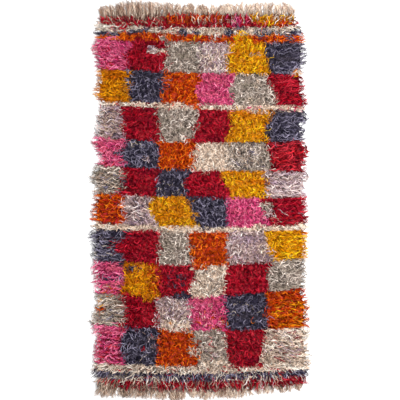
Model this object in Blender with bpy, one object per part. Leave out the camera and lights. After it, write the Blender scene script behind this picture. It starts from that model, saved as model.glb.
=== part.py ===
"""Hand-knotted long-pile wool rug in squares of plain colour, lying flat on the floor.

The rug is one cloth: a ground weave with its shag, modelled as a lumpy slab whose long rims are
drawn out into locks. The warp ends at both ends are fringes, each with a narrow strip of ground.
X runs across the rug, Y along it, and Z is up. The underside lies at Z = 0.
"""

import math
import random
from collections import namedtuple

import bmesh
import bpy
from mathutils import Vector, noise

# Sizes of the whole rug, in metres
FIELD_TOP = 0.890  # Y of the field's upper end; "down" is measured from here towards -Y
PILE_HEIGHT = 0.029  # from the floor to the top of a square, before its lumps
GROUND_THICKNESS = 0.005
TOUCHING_GAP = 0.0003  # between the field and each fringe

# The field's surface
SQUARES_ACROSS = 6
COLUMNS_IN_SQUARE = 6  # of faces
COLUMNS = SQUARES_ACROSS * COLUMNS_IN_SQUARE
SQUARE_CROWN = 0.008  # how far a square stands above the seam to the next one
CROWN_POWER = 4  # the higher, the flatter a square is between its seams
RIM_DROP = 0.010  # how far the pile thins out towards every edge
RIM_WIDTH = 0.035
LOWEST_PILE = 0.008  # however thin the pile is, its top stands at least this high
LUMP_HEIGHT = 0.006
LUMP_LENGTH = 0.055
LUMP_PLANE = 0.3  # the level at which the lumps are cut from a solid noise
TUFT_HEIGHT = 0.0028
CREASE_ANGLE = math.radians(50)

# Locks at the long rims: a ring's place along the lock, and its width and height
LOCK_RINGS = ((0.45, 0.58, 0.55), (1.0, 0.14, 0.20))
LOCK_REACH = (0.016, 0.048)
LOCK_SWAY = 0.012
RIM_INSET = 0.012  # the rim lies this far inside the edge that the pile's mass makes
REACH_X = 0.536  # no lock goes further from the rug's middle line

# Fringe
STRANDS = 60
STRAND_SHARE = 0.60  # of the space that each strand has
STRAND_RINGS = ((0.5, 0.92, 1.0), (1.0, 0.36, 0.55))
STRAND_SWAY = 0.008
STRIP_DEPTH = 0.012
TOP_STRAND_REACH = (0.036, 0.0605)
BOTTOM_STRAND_REACH = (0.022, 0.040)

# Yarn shades, as linear base colours
YARNS = {
    "crimson": (0.42, 0.006, 0.022),
    "gold": (0.78, 0.32, 0.008),
    "orange": (0.74, 0.13, 0.008),
    "pink": (0.66, 0.048, 0.20),
    "navy": (0.045, 0.052, 0.105),
    "silver": (0.36, 0.34, 0.28),
    "mauve": (0.50, 0.40, 0.40),
    "ivory": (0.74, 0.66, 0.52),
}
FRINGE_COLOUR = (0.52, 0.45, 0.35)

# Each course of the pattern, from the upper end. "lower" is how far down the field its lower edge
# lies at the left rim, the middle and the right rim. "steps" is its rows of faces, and "rise" its
# pile height against a full square. "yarns" is one shade, or one for each square from the left.
Course = namedtuple("Course", "lower steps rise yarns")
COURSES = (
    Course((0.035, 0.045, 0.045), 2, 0.95, "crimson"),
    Course((0.068, 0.080, 0.087), 1, 0.85, "ivory"),
    Course((0.110, 0.120, 0.125), 2, 0.95, "orange"),
    Course((0.252, 0.272, 0.284), 6, 1.0, "pink crimson silver mauve gold navy"),
    Course((0.407, 0.427, 0.437), 6, 1.0, "gold navy orange pink silver crimson"),
    Course((0.429, 0.453, 0.458), 1, 0.70, "ivory"),
    Course((0.577, 0.606, 0.601), 6, 1.0, "mauve crimson silver crimson gold navy"),
    Course((0.723, 0.749, 0.752), 6, 1.0, "pink navy orange ivory silver crimson"),
    Course((0.866, 0.878, 0.878), 6, 1.0, "silver crimson navy crimson gold mauve"),
    Course((1.004, 1.021, 1.011), 6, 1.0, "orange mauve gold navy pink crimson"),
    Course((1.036, 1.044, 1.036), 1, 0.70, "ivory"),
    Course((1.179, 1.210, 1.183), 6, 1.0, "navy crimson silver orange mauve gold"),
    Course((1.339, 1.363, 1.322), 6, 1.0, "pink gold crimson ivory crimson silver"),
    Course((1.496, 1.518, 1.513), 6, 1.0, "silver crimson mauve pink navy orange"),
    Course((1.681, 1.695, 1.673), 6, 1.0, "pink navy orange silver crimson ivory"),
    Course((1.717, 1.730, 1.712), 1, 0.85, "ivory"),
    Course((1.752, 1.764, 1.750), 1, 0.90, "navy"),
    Course((1.790, 1.802, 1.792), 2, 0.90, "crimson"),
)

# X of the five seams between squares, at the middle of each row of squares
Seams = namedtuple("Seams", "down across")
SEAMS = (
    Seams(0.19, (-0.335, -0.165, 0.000, 0.140, 0.335)),
    Seams(0.35, (-0.335, -0.175, -0.005, 0.165, 0.340)),
    Seams(0.52, (-0.370, -0.195, -0.015, 0.160, 0.340)),
    Seams(0.67, (-0.345, -0.200, -0.025, 0.150, 0.325)),
    Seams(0.81, (-0.365, -0.210, -0.050, 0.120, 0.320)),
    Seams(0.95, (-0.360, -0.210, -0.025, 0.130, 0.315)),
    Seams(1.12, (-0.370, -0.195, -0.040, 0.135, 0.310)),
    Seams(1.27, (-0.370, -0.215, -0.025, 0.130, 0.325)),
    Seams(1.43, (-0.365, -0.205, -0.045, 0.125, 0.315)),
    Seams(1.60, (-0.365, -0.210, -0.020, 0.130, 0.305)),
)

# X of the edges that the mass of pile makes: the weaver's width wanders a little
Edge = namedtuple("Edge", "down left right")
EDGES = (
    Edge(0.00, -0.492, 0.470),
    Edge(0.10, -0.502, 0.485),
    Edge(0.21, -0.507, 0.492),
    Edge(0.45, -0.494, 0.492),
    Edge(0.65, -0.497, 0.500),
    Edge(0.89, -0.517, 0.502),
    Edge(1.13, -0.521, 0.504),
    Edge(1.37, -0.504, 0.497),
    Edge(1.57, -0.502, 0.507),
    Edge(1.79, -0.502, 0.502),
)


def clear_scene():
    for old in list(bpy.data.objects):
        bpy.data.objects.remove(old)


def between(rows, down, read):
    """read() of the table's rows, interpolated at that distance down the field."""
    for upper, lower in zip(rows, rows[1:]):
        if down <= lower.down:
            break
    share = min(1.0, max(0.0, (down - upper.down) / (lower.down - upper.down)))
    return read(upper) + (read(lower) - read(upper)) * share


def edge_x(down, side):
    """X of the rim on side -1 (left) or 1 (right)."""
    if side < 0:
        return between(EDGES, down, lambda row: row.left) + RIM_INSET
    return between(EDGES, down, lambda row: row.right) - RIM_INSET


def seam_lines(down):
    """X of the rims and of the seams between them, from left to right."""
    seams = [
        between(SEAMS, down, lambda row, i=i: row.across[i]) for i in range(SQUARES_ACROSS - 1)
    ]
    return [edge_x(down, -1), *seams, edge_x(down, 1)]


def course_edge(number, across):
    """How far down a course's lower edge lies; across runs from -1 at the left rim to 1."""
    if number < 0:
        return 0.0
    left, middle, right = COURSES[number].lower
    return middle + (right - left) / 2 * across + ((left + right) / 2 - middle) * across**2


def crown(share):
    """0 at a seam and near 1 over the rest of a square."""
    return 1 - abs(2 * share - 1) ** CROWN_POWER


def pile_top(x, y, rise, row_share, column_share, rim_distance, chance):
    """Z of the pile, from its course, its place in its square and the lumps of its tufts."""
    flat = PILE_HEIGHT * rise - SQUARE_CROWN
    square = SQUARE_CROWN * crown(row_share) * crown(column_share)
    lump = LUMP_HEIGHT * noise.noise(Vector((x, y, LUMP_PLANE)) / LUMP_LENGTH)
    thin = RIM_DROP * max(0.0, 1 - rim_distance / RIM_WIDTH)
    top = flat + square + lump + chance.uniform(-1, 1) * TUFT_HEIGHT - thin
    return max(LOWEST_PILE, top)


def field_stations():
    """(course, share of its depth) of each line of points, from the upper end to the lower."""
    stations = [(0, 0.0)]
    for number, course in enumerate(COURSES):
        stations += [(number, step / course.steps) for step in range(1, course.steps + 1)]
    return stations


def column_x(lines, column):
    """X of a line of points between the faces' columns, and its share of its square's width."""
    square = min(column // COLUMNS_IN_SQUARE, SQUARES_ACROSS - 1)
    share = column / COLUMNS_IN_SQUARE - square
    return lines[square] + (lines[square + 1] - lines[square]) * share, share


def field_point(course, share, column, chance):
    """One point of the field's surface."""
    across = 2 * column / COLUMNS - 1
    upper, lower = course_edge(course - 1, across), course_edge(course, across)
    down = upper + (lower - upper) * share
    lines = seam_lines(down)
    x, column_share = column_x(lines, column)
    y = FIELD_TOP - down
    rim = min(x - lines[0], lines[-1] - x, down, course_edge(len(COURSES) - 1, across) - down)
    z = pile_top(x, y, COURSES[course].rise, share, column_share, rim, chance)
    return Vector((x, y, z))


def taper(form, root, reach, sway, rings):
    """Draws a wall face out into a lock that narrows ring by ring and rests on the floor."""
    outward = Vector((root.normal.x, root.normal.y, 0)).normalized()
    along = Vector((-outward.y, outward.x, 0))
    middle = root.calc_center_median()
    corners = [((v.co - middle).dot(along), v.co.z) for v in root.verts]
    face = root
    for share, wide, tall in rings:
        face = bmesh.ops.extrude_discrete_faces(form, faces=[face])["faces"][0]
        for vertex, (offset, height) in zip(face.verts, corners):
            place = middle + outward * reach * share + along * (offset * wide + sway * share**2)
            vertex.co = Vector((place.x, place.y, height * tall))


def wool(name, colour, roughness=0.85):
    material = bpy.data.materials.new(name)
    material.use_nodes = True
    shader = material.node_tree.nodes["Principled BSDF"]
    shader.inputs["Base Color"].default_value = (*colour, 1)
    shader.inputs["Roughness"].default_value = roughness
    shader.inputs["Metallic"].default_value = 0
    return material


def finished(name, form, materials):
    """The object made from a closed form, shaded smooth but for its creases."""
    bmesh.ops.recalc_face_normals(form, faces=form.faces)
    mesh = bpy.data.meshes.new(name)
    form.to_mesh(mesh)
    form.free()
    for material in materials:
        mesh.materials.append(material)
    mesh.shade_smooth()
    mesh.set_sharp_from_angle(angle=CREASE_ANGLE)
    made = bpy.data.objects.new(name, mesh)
    bpy.context.scene.collection.objects.link(made)
    return made


def make_top(form, chance):
    """The pile's surface, each face in its square's yarn. Returns its lines of points."""
    stations = field_stations()
    top = [
        [form.verts.new(field_point(*station, column, chance)) for column in range(COLUMNS + 1)]
        for station in stations
    ]
    shades = list(YARNS)
    for row, (course, _) in enumerate(stations[1:]):
        yarns = COURSES[course].yarns.split()
        for column in range(COLUMNS):
            upper, lower = top[row], top[row + 1]
            face = form.faces.new(
                (upper[column], lower[column], lower[column + 1], upper[column + 1])
            )
            shade = yarns[column // COLUMNS_IN_SQUARE % len(yarns)]
            face.material_index = shades.index(shade)
    return top


def make_field():
    """The ground weave and its shag: a lumpy top, a flat underside, and locks at the long rims."""
    chance = random.Random(7)
    form = bmesh.new()
    top = make_top(form, chance)
    left_rim = [line[0] for line in top]
    right_rim = [line[-1] for line in reversed(top)]
    outline = left_rim + top[-1][1:-1] + right_rim + list(reversed(top[0][1:-1]))
    below = [form.verts.new((v.co.x, v.co.y, 0)) for v in outline]
    form.faces.new(list(reversed(below)))
    walls = []
    for i, vertex in enumerate(outline):
        after = (i + 1) % len(outline)
        wall = form.faces.new((vertex, below[i], below[after], outline[after]))
        wall.material_index = next(f.material_index for f in vertex.link_faces)
        walls.append(wall)

    form.normal_update()
    rows = len(top) - 1
    for wall in walls[:rows] + walls[rows + COLUMNS : 2 * rows + COLUMNS]:
        reach = min(chance.uniform(*LOCK_REACH), REACH_X - abs(wall.calc_center_median().x))
        taper(form, wall, reach, chance.uniform(-1, 1) * LOCK_SWAY, LOCK_RINGS)
    return finished("shag_field", form, [wool(f"wool_{n}", c) for n, c in YARNS.items()])


def end_line(side):
    """Points along the field's upper (1) or lower (-1) end, moved out by the touching gap."""
    course = -1 if side > 0 else len(COURSES) - 1
    line = []
    for column in range(COLUMNS + 1):
        down = course_edge(course, 2 * column / COLUMNS - 1)
        x, _ = column_x(seam_lines(down), column)
        line.append(Vector((x, FIELD_TOP - down + side * TOUCHING_GAP, 0)))
    return line


def height_on(line, x):
    """Y of a line of points at that X."""
    for a, b in zip(line, line[1:]):
        if x <= b.x:
            break
    return a.y + (b.y - a.y) * (x - a.x) / (b.x - a.x)


def make_fringe(name, side, strand_reach, material):
    """The narrow strip beyond one end, with the warp ends that stand out from it."""
    chance = random.Random(11 + side)
    form = bmesh.new()
    inner = end_line(side)
    low, high = inner[0].x, inner[-1].x
    pitch = (high - low) / STRANDS
    outer = []
    for i in range(STRANDS):
        start = low + pitch * (i + (1 - STRAND_SHARE) / 2)
        outer += [start, start + pitch * STRAND_SHARE]
    outer = [Vector((x, height_on(inner, x) + side * STRIP_DEPTH, 0)) for x in outer]
    raised = Vector((0, 0, GROUND_THICKNESS))
    loop = inner + list(reversed(outer))
    bottom = [form.verts.new(p) for p in loop]
    top = [form.verts.new(p + raised) for p in loop]
    form.faces.new(bottom)
    form.faces.new(list(reversed(top)))
    walls = []
    for i in range(len(loop)):
        after = (i + 1) % len(loop)
        walls.append(form.faces.new((bottom[i], top[i], top[after], bottom[after])))
    bmesh.ops.recalc_face_normals(form, faces=form.faces)
    form.normal_update()
    for i in range(STRANDS):
        root = walls[len(inner) + 2 * i]
        reach = chance.uniform(*strand_reach)
        taper(form, root, reach, chance.uniform(-1, 1) * STRAND_SWAY, STRAND_RINGS)
    return finished(name, form, [material])


def main():
    clear_scene()
    make_field()
    warp = wool("wool_warp", FRINGE_COLOUR)
    make_fringe("fringe_top", 1, TOP_STRAND_REACH, warp)
    make_fringe("fringe_bottom", -1, BOTTOM_STRAND_REACH, warp)


main()
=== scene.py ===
"""Looks of a hand-knotted long-pile wool rug, lying flat, in squares of plain colour.

Rows of knots are tied into a thin ground weave, a yarn for each square. Every knot grows one curly
strand, by one Geometry Nodes tree, and the strands of one yarn are one piece. The warp ends beyond
both ends of the weave are grown in the same way. X runs across the rug, Y along it, Z is up.
"""

import math
import random
from collections import namedtuple

import bpy
from bpy.props import FloatProperty, FloatVectorProperty, IntProperty, PointerProperty
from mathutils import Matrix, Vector, noise


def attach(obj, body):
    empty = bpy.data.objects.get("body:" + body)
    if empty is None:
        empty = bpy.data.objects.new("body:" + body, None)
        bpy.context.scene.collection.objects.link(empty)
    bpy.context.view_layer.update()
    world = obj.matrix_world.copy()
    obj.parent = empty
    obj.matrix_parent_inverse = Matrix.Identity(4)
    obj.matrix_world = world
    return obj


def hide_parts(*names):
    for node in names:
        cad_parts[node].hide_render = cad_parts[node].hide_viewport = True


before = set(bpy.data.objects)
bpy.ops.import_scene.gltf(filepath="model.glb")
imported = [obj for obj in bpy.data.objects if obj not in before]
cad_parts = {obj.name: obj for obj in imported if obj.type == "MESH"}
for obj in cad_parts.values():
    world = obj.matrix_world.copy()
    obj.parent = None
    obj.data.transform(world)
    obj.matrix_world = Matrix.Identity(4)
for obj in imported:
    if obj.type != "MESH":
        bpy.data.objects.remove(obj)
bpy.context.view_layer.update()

bl_info = {
    "name": "Long-Pile Rug in Colour Squares",
    "version": (1, 0, 0),
    "blender": (4, 5, 0),
    "location": "3D View > Sidebar > Rug",
    "description": "Ties a shaggy wool rug knot by knot, with its ground weave and fringes",
    "category": "Add Mesh",
}

BODY = "root"
FIELD_TOP = 0.890  # Y of the field's upper end; "down" is measured from here towards -Y
RANDOM_SEED = 7
EDGE_SLACK = 1e-6  # metres; a place on the edge between two courses belongs to the upper one


def metres(values):
    """Metres from the millimetres in which the charts below are drawn."""
    return tuple(value / 1000 for value in values)


# Ground weave
WEAVE_COLUMNS = 40
WEAVE_LINES_PER_METRE = 50
WEAVE_SWELL = 0.0006
WEAVE_INSET = 0.030
WARP_PITCH = 0.004
WEFT_PITCH = WARP_PITCH * 1.6
WEAVE_GAPS = (-2.0, 0.4)  # relief at the bottom of the gaps between the threads and at their rims, between which the painted shade fades
WEAVE_GAP_SHADE_LEVEL = 0.35  # brightness of the painted shade at the bottom of the gaps
THREAD_LEVELS = (0.75, 1.15)  # brightness of the darkest and the palest threads

# A strand's own mesh
STRAND_SIDES = 3
UV_MARGIN = 0.06  # of a strand's place on the bake chart, on each side
PILE_TIP = 0.4  # thickness of a strand's tip against its root
END_TIP = 0.3
CHART_STRETCH = 6.0  # how many times longer than wide a strand's place on the chart is
WAVES = (0.8, 1.6)  # fewest and most waves along a strand, and how far they swing
SWINGS = (0.3, 1.3)
BOB = 0.45  # how far a wave swings up and down against how far it swings sideways
BEND_POWER = 1.2  # powers of the way along a strand by which it bends, rises, sinks and tapers
RISE_POWER = 2.5
DROOP_POWER = 2.0
TAPER_POWER = 3.0

# How a strand lies. The pile sweeps out towards the rims and ends, and curls any way in between.
FLOOR_REST = 0.004  # height of a strand's middle line where it lies on the floor
ROOT_HEIGHT = 0.003
LEAST_TURN = 0.05
SWEEP_START = 0.22  # distance from the rug's middle line at which the outward sweep sets in
SWEEP_FULL = 0.44
SWEEP = 2.0  # strength against a random direction of 1
SWEPT_TURN = 0.5  # how much less the strands turn and curl where they are swept
SWEPT_CURL = 0.25
END_SWEEP = 2.6
END_SWEEP_DEPTHS = (0.060, 0.165)  # at the upper and the lower end
LOCK_PITCH = 0.024  # the strands near both ends draw together in locks
LOCK_DRAW = 3.0
SWIRL = 0.9
SWIRL_LENGTH = 0.10
SWIRL_PLANES = (3.1, 8.7)  # levels at which the two parts of the swirl are cut from a solid noise
UPRIGHT_REACH = 0.54  # reach of a strand that stands in the middle against one that sweeps out
CENTRED = 0.5  # share of its reach by which a strand's knot lies back from its place
DRAWN_IN = 0.8  # how far the strands of a row draw together where they sweep out
RIM_INSET = 0.012  # the outermost places lie this far inside the edge of the pile's mass
RIM_WANDER = 0.012
RIM_WANDER_LENGTH = 0.020
RIM_LANES = (20, 30)  # lanes of the noise by which the left and the right rim wander
RIM_DROOP_WIDTH = 0.030
ROW_SCATTER = (0.42, 0.24)  # of the distance between rows, in the middle and near the rims
ROW_SCATTER_PLACES = (0.5, 0.9)  # shares of the way out where the middle ends, the rims begin
SEAM_WOBBLE = 0.008
EDGE_WOBBLE = 0.006
WOBBLE_LENGTH = 0.04
SEAM_SCATTER = (0.002, 0.013)  # how far the knots of two squares mingle, where least and most
SEAM_SCATTER_LENGTH = 0.15
SEAM_SCATTER_NOISE = (-0.4, 0.4)  # the noise at which they mingle least and most
SEAM_SCATTER_LANE = 40
FURROW_SHADE = 85  # painted shade in the furrows between rows: how much darker knots grow, for each metre from their row's middle, near the rims
FURROW_LEVEL = 0.0030  # how far from its middle a row has its mean shade; nearer the middle it is lighter, further out in painted shade
HEIGHT_PAINTED_SHADE = 0.35  # how much of a strand's shade comes from how high it lies: painted shade low in the pile, painted highlight on top
CLUMP = (0.020, 0.013)  # width and depth of the clumps in which the pile stands and sinks
CLUMP_HEIGHT = 0.9
CLUMP_REACH = 0.4
CLUMP_PLANE = 5.3
HAIR_SHARE = 0.045  # strands that are long and thin and stray from the rest
HAIR_LENGTH = 0.052  # reach of the longest of them
HAIR_STRETCH = (1.2, 1.6)
HAIR_GIRTH = (0.45, 0.7)
HAIR_CURL = 2.0
HAIR_TURN = 0.8
HAIR_SHADES = (0.5, 1.0)
RIM_HAIR_SHARE = 0.11  # near the rims there are more of them, and they are dark
RIM_HAIR_SHADES = (0.0, 0.5)
RIM_HAIR_WIDTH = 0.035
DYE_BAND = (0.16, 0.024)  # width and depth of the patches that a yarn's dye took differently
DYE_STRENGTH = 1.6
FLECK_DYE = (0.5, 1.0)
# Chances for a strand of pile: the spread of a bell curve, or the least and the most
TURN_SPREAD = 1.5
REACH_RANGE = (0.7, 1.15)
GIRTH_RANGE = (0.7, 1.3)
DROOP_RANGE = (0.4, 0.9)
LOWEST_LIFT = 0.45  # of the pile's height, and how far above that the others lie
LIFT_RANGE = 0.65

# How a strand looks. Its shade runs from 0, the darkest, to 1.
SHADES = (0.1, 0.5, 0.9)  # at which it has its yarn's dark, middle and pale colour
FLECK_LEVELS = (0.45, 1.4)  # brightness of the darkest and the palest fleck
ROOT_SHADE_LEVEL = 0.30  # brightness of its root: painted shade deep in the pile
ROOT_SHADE_FADE = (0.05, 0.75)  # shares of its length between which the painted shade of the root fades
PAINTED_STREAKS = 0.50  # how much its brightness varies in painted streaks of light and shade, as where its curls rise and sink
STREAK_SCALES = (4.5, 97.0, 1.2)  # along it, from shade to shade and round it
TWISTS = 12.0  # turns of the yarn's twist along it
NOISE_RANGE = (0.3, 0.7)  # in which nearly all values of a noise texture lie

# Fringe
TUFTS = 54
STRANDS_IN_TUFT = 18
STRAND_STRAY = 0.007  # how far the tip of one warp end strays sideways from its tuft
TUFT_FILL = 1.45  # width of a tuft at its root against its pitch
TUFT_CLOSE = 0.45  # and at its tip against its root
TUFT_POINT = 0.25  # how much shorter than its middle strands its outer strands are
TUFT_POINT_POWER = 1.5
SHORT_TUFT = 0.5  # length of a short tuft against the others
# Chances for a tuft and for a warp end in it, as above
TUFT_LEAN = 0.009
TUFT_BEND = 0.4
TUFT_WIDTH = (0.85, 1.25)
TUFT_HEIGHT = (0.88, 1.10)
TUFT_ROOT = (0.5, 1.3)
TUFT_TONE = (-0.2, 0.2)
END_BEND = 0.4
END_SHADE = 0.26
END_ROOT = (0.6, 1.2)
END_REACH = (0.78, 1.05)
END_DROOP = (0.5, 1.0)
END_CURL = (0.8, 2.0)
END_GIRTH = (0.6, 1.2)
END_LIFTS = (0.004, 0.012)
END_DYE_POWER = 3  # few warp ends are dyed much
ROOT_LIFT = 0.8  # how much higher it may lie for each metre that its root lies under the pile
# Each fringe. reaches, roots, tones and fullness run from the left to the right end: how far the
# warp ends reach beyond the weave, how far inside its edge they leave the pile, how pale they are
# and how full the tufts are. lean is how far the tips lie to the right of their roots, and bald
# the share of short tufts.
Fringe = namedtuple("Fringe", "side reaches roots tones fullness lean bald")
FRINGES = {
    "top": Fringe(
        side=1,
        reaches=metres((67, 87, 81, 72, 58, 60, 74, 80, 64)),
        roots=metres((18, 22, 26, 6, 2, 2, 10, 6, 4)),
        tones=(0.44, 0.46, 0.52, 0.58, 0.68, 0.76, 0.82, 0.84, 0.80),
        fullness=(1.00, 1.00, 1.00, 0.85, 0.80, 0.80, 0.62, 0.50, 0.50),
        lean=0.003,
        bald=0.02,
    ),
    "bottom": Fringe(
        side=-1,
        reaches=metres((56, 54, 52, 61, 60, 56, 50, 48, 46)),
        roots=metres((36, 12, 8, 10, 6, 10, 6, 10, 8)),
        tones=(0.56, 0.58, 0.60, 0.66, 0.72, 0.74, 0.74, 0.72, 0.66),
        fullness=(0.95, 0.90, 0.90, 0.95, 0.95, 0.80, 0.48, 0.50, 0.52),
        lean=-0.008,
        bald=0.12,
    ),
}

# Floor, camera and lights
FLOOR_SIZE = 14.0
FLOOR_WHITE = 0.9
FLOOR_ROUGHNESS = 0.9
PHOTO_WIDTH = 1.94  # metres across the photograph at the pile's height
VIEW_LENS = 100
VIEW_SENSOR = 36
PILE_LEVEL = 0.025
SKY_STRENGTH = 0.45
Lamp = namedtuple("Lamp", "place size power")
LAMPS = {
    "key_light": Lamp((1.25, 0.25, 2.9), 0.8, 152),
    "fill_light": Lamp((-1.6, 1.8, 2.8), 2.5, 35),
}

# Each yarn: the colours of its dark, middle and pale strands (linear), partly its own spread of
# tones and partly painted shade and painted highlight, the colour that turns up in flecks and
# bands, the share of flecks, how curly it is, its sheen, and its slot in the record
Yarn = namedtuple("Yarn", "dark base pale fleck flecks curl sheen slot")
YARNS = {
    "crimson": Yarn(
        (0.05, 0.001, 0.004), (0.39, 0.001, 0.011), (0.70, 0.026, 0.055),
        (0.17, 0.001, 0.014), 0.10, 0.7, 0.0, "wool_crimson",
    ),
    "coral": Yarn(
        (0.03, 0.001, 0.003), (0.19, 0.001, 0.009), (0.74, 0.046, 0.070),
        (0.55, 0.013, 0.02), 0.12, 0.8, 0.0, "wool_crimson",
    ),
    "gold": Yarn(
        (0.15, 0.030, 0.001), (0.82, 0.315, 0.001), (1.00, 0.680, 0.020),
        (0.62, 0.140, 0.002), 0.12, 0.9, 0.0, "wool_gold",
    ),
    "ochre": Yarn(
        (0.17, 0.040, 0.001), (0.72, 0.220, 0.001), (0.98, 0.460, 0.010),
        (0.50, 0.110, 0.002), 0.10, 0.9, 0.0, "wool_gold",
    ),
    "orange": Yarn(
        (0.10, 0.002, 0.001), (0.60, 0.036, 0.001), (1.00, 0.250, 0.014),
        (0.46, 0.050, 0.001), 0.14, 1.0, 0.0, "wool_orange",
    ),
    "pink": Yarn(
        (0.18, 0.006, 0.044), (0.73, 0.050, 0.195), (1.00, 0.280, 0.460),
        (0.66, 0.100, 0.170), 0.12, 0.9, 0.02, "wool_pink",
    ),
    "navy": Yarn(
        (0.002, 0.002, 0.006), (0.034, 0.027, 0.058), (0.35, 0.315, 0.430),
        (0.06, 0.048, 0.066), 0.10, 1.1, 0.03, "wool_navy",
    ),
    "silver": Yarn(
        (0.030, 0.023, 0.018), (0.42, 0.322, 0.266), (1.00, 0.870, 0.770),
        (0.28, 0.230, 0.170), 0.20, 1.2, 0.05, "wool_silver",
    ),
    "mauve": Yarn(
        (0.050, 0.026, 0.030), (0.57, 0.370, 0.335), (1.00, 0.870, 0.830),
        (0.38, 0.250, 0.340), 0.24, 1.2, 0.05, "wool_mauve",
    ),
    "ivory": Yarn(
        (0.34, 0.240, 0.180), (0.94, 0.700, 0.530), (1.00, 0.960, 0.870),
        (0.50, 0.370, 0.290), 0.12, 1.0, 0.05, "wool_ivory",
    ),
    "warp": Yarn(
        (0.15, 0.088, 0.058), (0.53, 0.350, 0.250), (0.92, 0.760, 0.620),
        (0.34, 0.200, 0.150), 0.15, 0.9, 0.05, "wool_warp",
    ),
}

# Each course of the pattern, from the upper end. "lower" is how far down the field its lower edge
# lies at the left rim, the middle and the right rim. "rows" is its rows of knots, and "rise" its
# pile height against a full square. "yarns" is one yarn, or one for each square from the left.
# "seams" is the X of the seams between its squares, near its top, halfway and near its bottom.
Course = namedtuple("Course", "lower rows rise yarns seams")


def charted(lower, rows, rise, yarns, seams=()):
    """A course from its edge and seams in millimetres."""
    return Course(metres(lower), rows, rise, yarns.split(), [metres(row) for row in seams])


UPPER_EDGE = metres((4, -10, -6))  # how far down the first course starts, at the same places
SEAM_LEVELS = (0.1, 0.5, 0.9)
COURSES = (
    charted((36, 54, 43), 2, 0.95, "crimson"),
    charted((68, 85, 90), 2, 0.85, "ivory"),
    charted((111, 122, 125), 2, 0.95, "orange"),
    charted((252, 272, 282), 7, 1.0, "pink crimson silver mauve gold navy", (
        (-323, -163, -3, 148, 313),
        (-361, -172, -3, 129, 327),
        (-352, -167, -3, 133, 337),
    )),
    charted((409, 424, 436), 7, 1.0, "ochre navy orange pink silver crimson", (
        (-337, -170, -3, 172, 323),
        (-352, -172, -20, 145, 356),
        (-337, -194, -7, 163, 371),
    )),
    charted((431, 450, 458), 1, 0.70, "ivory"),
    charted((581, 612, 599), 7, 1.0, "mauve crimson silver crimson gold navy", (
        (-383, -201, -12, 143, 352),
        (-371, -197, -22, 158, 323),
        (-371, -192, -51, 124, 328),
    )),
    charted((722, 745, 753), 7, 1.0, "pink navy orange ivory silver coral", (
        (-357, -211, -27, 141, 313),
        (-390, -192, -34, 134, 337),
        (-362, -201, -32, 143, 342),
    )),
    charted((855, 878, 872), 6, 1.0, "silver crimson navy crimson gold mauve", (
        (-370, -192, -46, 104, 311),
        (-370, -216, -75, 119, 323),
        (-390, -216, -56, 143, 323),
    )),
    charted((997, 1020, 1005), 6, 1.0, "orange mauve gold navy pink crimson", (
        (-366, -240, -56, 119, 289),
        (-371, -250, -41, 134, 308),
        (-371, -206, -22, 129, 332),
    )),
    charted((1038, 1043, 1036), 1, 0.70, "ivory"),
    charted((1181, 1207, 1173), 7, 1.0, "navy crimson silver orange mauve gold", (
        (-352, -187, -61, 134, 311),
        (-405, -197, -46, 124, 327),
        (-371, -201, -41, 138, 352),
    )),
    charted((1341, 1363, 1310), 7, 1.0, "pink ochre crimson ivory crimson silver", (
        (-366, -211, -32, 138, 342),
        (-371, -211, -16, 119, 323),
        (-381, -201, -37, 109, 330),
    )),
    charted((1490, 1522, 1509), 7, 1.0, "silver crimson mauve pink navy orange", (
        (-366, -211, -56, 124, 323),
        (-357, -206, -51, 124, 318),
        (-364, -211, -44, 129, 327),
    )),
    charted((1681, 1702, 1698), 8, 1.0, "pink navy orange silver crimson ivory", (
        (-361, -199, -37, 129, 318),
        (-386, -206, -17, 124, 308),
        (-366, -214, -8, 143, 298),
    )),
    charted((1716, 1730, 1703), 2, 1.00, "ivory"),
    charted((1752, 1765, 1737), 2, 0.85, "navy"),
    charted((1797, 1812, 1779), 2, 0.95, "crimson"),
)

# The weaver's width wanders a little: how far down, and X of the left and the right end of the
# rows of knots there, in millimetres
EDGE_DOWNS, LEFT_EDGES, RIGHT_EDGES = zip(*(metres(row) for row in (
    (0, -487, 470), (20, -508, 486), (60, -512, 494), (105, -515, 512),
    (145, -526, 515), (200, -520, 518), (250, -512, 510), (295, -500, 510),
    (370, -522, 507), (410, -494, 536), (450, -496, 518), (490, -500, 530),
    (530, -504, 508), (605, -529, 514), (645, -512, 536), (685, -488, 530),
    (720, -508, 522), (765, -536, 528), (840, -517, 512), (880, -522, 526),
    (920, -530, 524), (1000, -532, 534), (1070, -542, 524), (1110, -522, 530),
    (1190, -528, 528), (1270, -519, 513), (1345, -514, 515), (1395, -508, 546),
    (1430, -520, 532), (1480, -535, 536), (1560, -510, 534), (1655, -520, 540),
    (1740, -524, 525), (1800, -502, 526),
)))

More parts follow.
